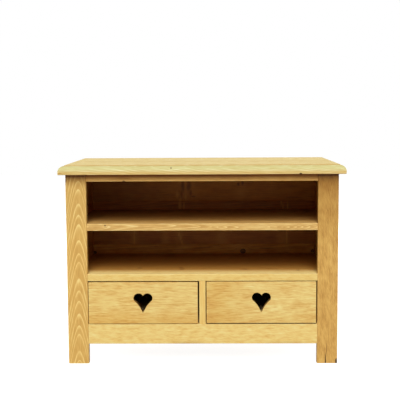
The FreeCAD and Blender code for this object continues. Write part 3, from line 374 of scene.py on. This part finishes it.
DRAWER_FRONT = dict(grain="X", tones=SUNNY, line=0.14, patch=(24, 70), streak=0.35, fibre=0.85,
                    fleck=(3.0, 22), wear=0.0)
LOOKS = {
    "leg_front_left": dict(
        grain="Z", tones=TAN_LEG, pith=(6, 9), ring=7.0, taper=0.167, lean=(0.012, 0), wander=2.0, line=0.52,
        cloud=0.35, streak=0.3, fibre=0.45, wear=0.15, marks=[("scars", (-462, -227, 634), (4, 9, 8))],
        # Tints: painted shade, darker towards the top of the leg, and a painted shadow under the top's
        # overhang
        tints=[("#F5F7FA", "place", "Z", 380, 640), ("#DACDBA", "place", "Z", 606, 640),
               ("#E4DCD0", "place", "Z", 637, 647), OVERHANG_SHADOW]),
    "leg_front_right": dict(
        grain="Z", tones=GOLD_LEG, pith=(120, 60), ring=5.0, taper=0.01, line=0.12, cloud=0.7, patch=(20, 46),
        streak=0.2, fibre=1.0, fleck=(3.6, 5), wear=0.1,
        marks=[("cracks_and_shade", (423, 0, 9), (2.5, 0, 32)), ("scars", (427, 0, 52), (2.0, 0, 32)),
               ("cracks_and_shade", (461, -227, 6), (7, 9, 14))],
        # Tints: painted shade, darker towards the top of the leg, and a painted shadow under the top's
        # overhang
        tints=[("#E2DCCE", "place", "Z", 330, 600), ("#D4C6A8", "place", "Z", 560, 640), OVERHANG_SHADOW]),
    "bottom_rail_front": dict(
        grain="X", tones=APRON, pith=(40, 50), line=0.1, cloud=0.75, patch=(12, 30), streak=0.3, fibre=0.8,
        fleck=(2.8, 14), wear=0.1,
        marks=[("grime", (-52, 0, 68), (80, 0, 14)), ("grime", (290, 0, 68), (110, 0, 12))]),
    "drawer_left_front": dict(
        # Painted shade on the walls of the heart cut-out, and on the rim in the gap to the right
        DRAWER_FRONT, pith=(60, 30), cloud=0.6, marks=[("cracks_and_shade", (-204, -216.5, 218), (54, 11.8, 56))],
        tints=[(SIDE_GAP_SHADE, "normal", "X", 0.5, 0.9), ("#F7EBD8", "place", "Z", 200, 150),
               ("#FFFCF7", "place", "X", -160, -260)]),
    "drawer_right_front": dict(
        DRAWER_FRONT, pith=(70, -20), lean=(0, 0.06), cloud=0.65,
        # Painted shade on the walls of the heart cut-out, and on the lower rim in the gap under the drawer
        marks=[("cracks_and_shade", (202, -216.5, 219), (54, 11.8, 56))],
        tints=[(LOWER_GAP_SHADE, "normal", "Z", -0.5, -0.9), ("#F6EBD9", "place", "X", 200, 40),
               ("#FBF5EB", "place", "Z", 190, 150)]),
    "drawer_divider": dict(
        grain="Z", tones=APRON, line=0.1, wear=0.1, tints=[("#FFF9F0", "normal", "Y", -0.5, -0.9)]),
    "shelf_lower": dict(
        grain="X", tones=PALE_SHELF, staves=4, pith=(200, 60), line=0.12, cloud=0.65, patch=(14, 36),
        fibre=0.75, fleck=(2.8, 14),
        marks=[("scars", (-224, -109, 0), (14, 14, 0)), ("scars", (-73, -131, 0), (14, 16, 0)),
               ("scars", (-77, -98, 0), (12, 12, 0)), ("scars", (334, -157, 0), (10, 10, 0)),
               ("scars", (148, -135, 0), (22, 12, 0))],
        # Tints: painted shade, the front face a little darker than the top, and the top darker towards the
        # back of the compartment
        tints=[("#F0EADA", "normal", "Y", -0.4, -0.9), ("#C4A17A", "place", "Y", -206, -128),
               ("#EEDCC6", "place", "Y", -150, 60)]),
    "shelf_upper": dict(
        grain="X", tones=HONEY, staves=4, pith=(-46, 0), ring=3.5, taper=0.1, lean=(-0.05, 0), wander=10,
        line=0.4, streak=0.6, marks=[("knots", (-331, 0, 480.7), (3, 0, 3))],
        # Tints: painted shade, the top face darker than the front edge and darker still towards the back of
        # the compartment
        tints=[("#E9E3DA", "normal", "Z", 0.4, 0.9), ("#CBBBAC", "place", "Y", -195, -105),
               ("#E6DCC4", "place", "Y", -105, 20)]),
    "top_panel": dict(
        grain="X", tones=TOP, staves=5, pith=(0, -60), ring=5.0, taper=0.08, wander=8, line=0.35, cloud=0.2,
        streak=0.35, fibre=0.5, rough=0.6, shine=0.14,
        marks=[("knots", (-103, -247, 677.5), (2.6, 8, 2.6)), ("grime", (-477, -249.5, 660), (10, 12, 4.5)),
               # The marks at a height of 685.5 are painted shade in the quirk groove
               ("cracks_and_shade", (332, -249, 657), (6.5, 12, 3.6)), ("quirk_shade", (0, -229.5, 685.5), (0, 3, 1.8)),
               ("quirk_shade", (-465.5, 0, 685.5), (3, 0, 1.8)), ("quirk_shade", (465.5, 0, 685.5), (3, 0, 1.8))],
        tints=[("#F4FFFF", "normal", "Z", 0.15, 0.45), ("#F0FFFF", "normal", "Y", -0.15, -0.5),
               ("#FFFCF0", "normal", "Z", 0.93, 1.0), ("#FFEFD9", "place", "Z", 667, 664),
               (SHADED, "normal", "Z", -0.4, -0.9)]),
    "top_rail_front": dict(
        grain="X", tones=RAIL, line=0.15, marks=[("cracks_and_shade", (-265, 0, 629.5), (7, 0, 6))],
        # Tints: painted shadow of the top's overhang on the rail's upper part
        tints=[("#DED2C2", "place", "Z", 633, 646), OVERHANG_SHADOW]),
    "back_board_upper": dict(
        grain="X", tones=BACK, line=0.25, marks=on_back(
            # The first mark is painted shade towards the left end of the upper compartment
            ("corner_shade", -430, 590, 330, 300), ("glow", -62, 560, 60, 70), ("glow", 145, 555, 36, 40),
            ("scars", -80, 580, 9, 40), ("scars", -84, 548, 7, 24), ("scars", -56, 580, 12, 34),
            ("scars", -50, 550, 8, 22), ("scars", -40, 538, 14, 5), ("scars", 137, 586, 7, 10),
            ("scars", 153, 590, 7, 12), ("spikes", -101, 545, 10, 26), ("spikes", -69, 536, 7, 22),
            ("spikes", -90, 524, 9, 14))),
    "back_board_middle": dict(
        grain="X", tones=BACK, line=0.25, marks=on_back(
            ("spikes", -92, 503, 10, 26), ("spikes", -76, 500, 5, 24), ("spikes", 304, 512, 5, 20),
            ("spikes", 311, 496, 5, 20), ("spikes", 329, 500, 5, 30), ("spikes", -272, 372, 5, 60),
            ("glow", -272, 372, 22, 70), ("glow", -150, 372, 26, 60), ("spikes", -96, 388, 6, 16),
            ("spikes", -90, 372, 6, 16), ("spikes", -85, 356, 6, 14), ("glow", -96, 372, 30, 60),
            ("glow", 70, 372, 40, 60), ("spikes", 326, 376, 6, 50), ("glow", 312, 372, 34, 60))),
    "back_board_lower": dict(
        grain="X", tones=PALE_BACK, line=0.25,
        marks=[("knots", (155, 0, 321), (11, 0, 10)), ("knots", (-428, 0, 317), (7, 0, 7)),
               ("knots", (428, 0, 321), (7, 0, 7)), *on_back(("scars", 245, 333, 55, 2.5))]),
}
# Tints that paint shade on the faces inside, by the start of a board's name
INSIDE_SHADE = {
    "back_board_upper": ("#F2CE86", "place", "Y", 216, 211),
    "back_board_middle": ("#E0B886", "place", "Y", 216, 211),
    "back_board_lower": ("#FFF2C8", "place", "Y", 216, 211),
    "side_left": ("#DCB68C", "place", "X", -450, -436),
    "side_right": ("#FFF8E0", "place", "X", 450, 436),
    "leg_rear_left": (SHADED, "place", "X", -438, -434),
    "leg_rear_right": (SHADED, "place", "X", 438, 434),
}

# What each finish gives the eye, and its tones on a board that has no look of its own
FINISHES = {
    # Satin wax over honey stain: warm, with a soft broad sheen
    "waxed_pine": dict(tones=HONEY, rough=0.46, shine=0.25),
    # Stained once and darkened with age: a dull sheen
    "aged_pine": dict(tones=BACK, rough=0.5, shine=0.25),
    # Planed and left bare: pale and matte
    "bare_pine": dict(tones=RAW, rough=0.65, shine=0.15),
    # Sanded veneer peeled from the log: pale and matte, with a wide wavy figure
    "birch_plywood": dict(tones=BIRCH, rough=0.6, shine=0.15, pith=(0, -600), ring=9.0, wander=30.0,
                          fibre=0.2),
}
# Step of the seed from one board to the next
BOARD_SEED = 3.7


def longest_axis(node):
    """Axis of the longest side of a board, which its grain follows."""
    low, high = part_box(node)
    size = high - low
    return "XYZ"[max(range(3), key=lambda axis: size[axis])]


def make_steel(spangle_mm=2.0):
    """Zinc plated steel: bright, slightly blotchy metal with spangles of a given size."""
    material, add = new_material("zinc plated steel")
    place = add("TexCoord", out="Object")
    spangle = add("TexNoise", {"Vector": place, "Scale": 1 / (spangle_mm * MM), "Detail": 2.0})
    colour = add("ValToRGB", [spangle], stops=[(0.3, linear("#8E908E")), (0.7, linear("#C4C6C2"))])
    gloss = add("MapRange", [spangle, 0.3, 0.7, 0.3, 0.5])
    bump = add("Bump", {"Strength": 0.1, "Distance": 0.1 * MM, "Height": spangle})
    metal = add("BsdfPrincipled", {"Base Color": colour, "Metallic": 1.0, "Roughness": gloss, "Normal": bump})
    add("OutputMaterial", [metal])
    return material


def make_board(node, seed):
    """Wood of a board, with the look of its finish, then its own, and painted shade on its inner faces."""
    slot = SLOTS[node]
    look = {"grain": longest_axis(node), **FINISHES[slot], **LOOKS.get(node, {})}
    inside_shades = [tint for start, tint in INSIDE_SHADE.items() if node.startswith(start)]
    look["tints"] = [*look.get("tints", ()), *inside_shades]
    return planed_wood(f"{slot.replace('_', ' ')} {node}", node, seed, **look)


steel = make_steel()
for order, node in enumerate(sorted(NODES)):
    mesh = NODES[node].data
    mesh.materials.clear()
    mesh.materials.append(steel if SLOTS[node] == "zinc_steel" else make_board(node, BOARD_SEED * order))


# Nails that hold the back boards to the shelves and the rear rail

NAIL_HEAD, NAIL_RISE, NAIL_DEPTH = 5.0 * MM, 0.5 * MM, 1.0 * MM
NAIL_PITCH, NAILS_IN_ROW, NAIL_SIDES = 140 * MM, 6, 16
# Dome of a head from near its middle to its rim: shares of its radius and of its rise
DOME_RADII, DOME_RISES = (0.55, 0.85, 1.0), (0.8, 0.45, 0.0)


def nail_heads(name, places):
    """Domed nail heads in a wall that faces +Y. Each is a profile of radius and height carried round the
    nail's line: at an angle a the point stands at (r cos a, height, r sin a) from the place of the nail, and
    a point on the line closes each end."""
    radius = np.array([*DOME_RADII, 1.0]) * NAIL_HEAD / 2
    height = np.append(np.array(DOME_RISES) * NAIL_RISE, -NAIL_DEPTH)
    angle = np.linspace(0, 2 * np.pi, NAIL_SIDES, endpoint=False)
    level = np.broadcast_to(height[:, None], (len(height), NAIL_SIDES))
    rings = np.stack([np.outer(radius, np.cos(angle)), level, np.outer(radius, np.sin(angle))], axis=-1)
    head = np.vstack([rings.reshape(-1, 3), (0, NAIL_RISE, 0), (0, -NAIL_DEPTH, 0)])
    points = (np.array(places)[:, None] + head).reshape(-1, 3)
    top, bottom = len(head) - 2, len(head) - 1
    index = np.arange(top).reshape(len(radius), NAIL_SIDES)
    beside = np.roll(index, -1, axis=1)
    walls = np.stack([index[:-1], beside[:-1], beside[1:], index[1:]], axis=-1).reshape(-1, 4)
    dome = np.stack([np.full(NAIL_SIDES, top), beside[0], index[0]], axis=-1)
    base = np.stack([np.full(NAIL_SIDES, bottom), index[-1], beside[-1]], axis=-1)
    turns = len(head) * np.arange(len(places))[:, None, None]
    faces = []
    for part in (dome, walls, base):
        faces += (part + turns).reshape(-1, part.shape[1]).tolist()
    mesh = bpy.data.meshes.new(name)
    mesh.from_pydata(points.tolist(), [], faces)
    mesh.materials.append(steel)
    piece = bpy.data.objects.new(name, mesh)
    bpy.context.scene.collection.objects.link(piece)
    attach(piece, "carcass")


back_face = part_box("back_board_upper")[1][1]
nail_columns = NAIL_PITCH * (np.arange(NAILS_IN_ROW) - (NAILS_IN_ROW - 1) / 2)
nailed = [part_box(node) for node in ("shelf_lower", "shelf_upper", "top_rail_rear")]
nail_rows = [(low[2] + high[2]) / 2 for low, high in nailed]
nail_heads("back_nails", [(x, back_face, z) for z in nail_rows for x in nail_columns])


# Camera at the photograph's place and angle: place in millimetres, angles in degrees, lens as on 36 mm film

CAMERA_PLACE = Vector((36.25, -3085.3, 853.1)) * MM
CAMERA_TURN, CAMERA_TILT, CAMERA_ROLL = 0.855, 5.710, -0.317
FILM_WIDTH, LENS = 36.0, 76.24
camera = bpy.data.objects.new("camera", bpy.data.cameras.new("camera"))
bpy.context.scene.collection.objects.link(camera)
camera.data.sensor_width = FILM_WIDTH
camera.data.lens = LENS
camera.matrix_world = (Matrix.Translation(CAMERA_PLACE)
                       @ Matrix.Rotation(math.radians(CAMERA_TURN), 4, "Z")
                       @ Matrix.Rotation(math.radians(90 - CAMERA_TILT), 4, "X")
                       @ Matrix.Rotation(math.radians(CAMERA_ROLL), 4, "Z"))
bpy.context.scene.camera = camera


# Studio: pale floor that keeps the shadow, white surround, soft lamps; sizes in metres

def seen_directly(add):
    """1 on rays from the camera, in mirrors and through glass, else 0."""
    path = add("LightPath", out=None)
    mirrored = add("Math", [path["Is Glossy Ray"], path["Is Transmission Ray"]], operation="MAXIMUM")
    return add("Math", [path["Is Camera Ray"], mirrored], operation="MAXIMUM")


def make_floor(half=9.0, drop=0.0003, lift=0.88, near=0.6, far=2.2):
    """Pale paper floor, just under the feet. Where it is looked at it is lifted near to white, and between a
    near and a far distance from the stand it goes over to full white."""
    mesh = bpy.data.meshes.new("floor")
    corners = [(-half, -half, -drop), (half, -half, -drop), (half, half, -drop), (-half, half, -drop)]
    mesh.from_pydata(corners, [], [(0, 1, 2, 3)])
    floor = bpy.data.objects.new("floor", mesh)
    bpy.context.scene.collection.objects.link(floor)
    material, add = new_material("pale paper")
    paper = add("BsdfDiffuse", {"Color": linear("#A6A4A0")})
    away = add("VectorMath", [add("TexCoord", out="Object")], operation="LENGTH", out="Value")
    level = add("MapRange", [away, near, far, lift, 1.0], interpolation_type="SMOOTHSTEP")
    glow = add("Emission", {"Strength": add("Math", [seen_directly(add), level], operation="MULTIPLY")})
    add("OutputMaterial", [add("AddShader", [paper, glow])])
    mesh.materials.append(material)


def make_world(ambient=0.02):
    """White where it is looked at, and a dim even light elsewhere."""
    world = bpy.data.worlds.new("studio")
    bpy.context.scene.world = world
    world.use_nodes = True
    world.node_tree.nodes.clear()
    add = partial(add_node, world.node_tree)
    strength = add("Math", [seen_directly(add), 1 - ambient, ambient], operation="MULTIPLY_ADD")
    add("OutputWorld", [add("Background", {"Color": (1, 1, 1, 1), "Strength": strength})])


def make_lamp(name, place, target, size, power, mirrored=True):
    """Soft box of a width and height at a place, turned to a target."""
    lamp = bpy.data.objects.new(name, bpy.data.lights.new(name, "AREA"))
    lamp.data.shape = "RECTANGLE"
    lamp.data.size, lamp.data.size_y = size
    lamp.data.energy = power
    lamp.location = place
    lamp.rotation_euler = (Vector(target) - Vector(place)).to_track_quat("-Z", "Y").to_euler()
    lamp.visible_camera = False
    lamp.visible_glossy = mirrored
    bpy.context.scene.collection.objects.link(lamp)


def make_front_lamp(name, elevation, spread, share, distance=14.0, target=(0, -0.23, 0.4), width=6.0,
                    aside=0.012):
    """Soft box in front of the stand, at an elevation and as tall as a spread in degrees, that gives a share
    of the light on its front and stands aside by a part of its distance. A lamp of power P at distance d
    lights a surface square to it by P / (pi d) squared."""
    rise = math.radians(elevation)
    place = Vector(target) + distance * Vector((aside, -math.cos(rise), math.sin(rise)))
    height = 2 * distance * math.tan(math.radians(spread / 2))
    make_lamp(name, place, target, (width, height), share * (math.pi * distance) ** 2 / math.cos(rise))


make_floor()
make_world()
make_front_lamp("low soft box", elevation=29, spread=16, share=0.306)
make_front_lamp("middle soft box", elevation=45, spread=16, share=0.373)
make_front_lamp("high soft box", elevation=60, spread=14, share=0.184)
SMALL_BOX = (1.6, 1.2)
make_lamp("left soft box", place=(-3.2, 0.9, 0.9), target=(0, 0.1, 0.4), size=SMALL_BOX, power=80)
make_lamp("right soft box", place=(3.2, 0.9, 0.9), target=(0, 0.1, 0.4), size=SMALL_BOX, power=80)
make_lamp("back soft box", place=(0, 3.6, 1.2), target=(0, 0.2, 0.4), size=SMALL_BOX, power=90,
          mirrored=False)

bpy.context.scene.view_settings.view_transform = "Standard"
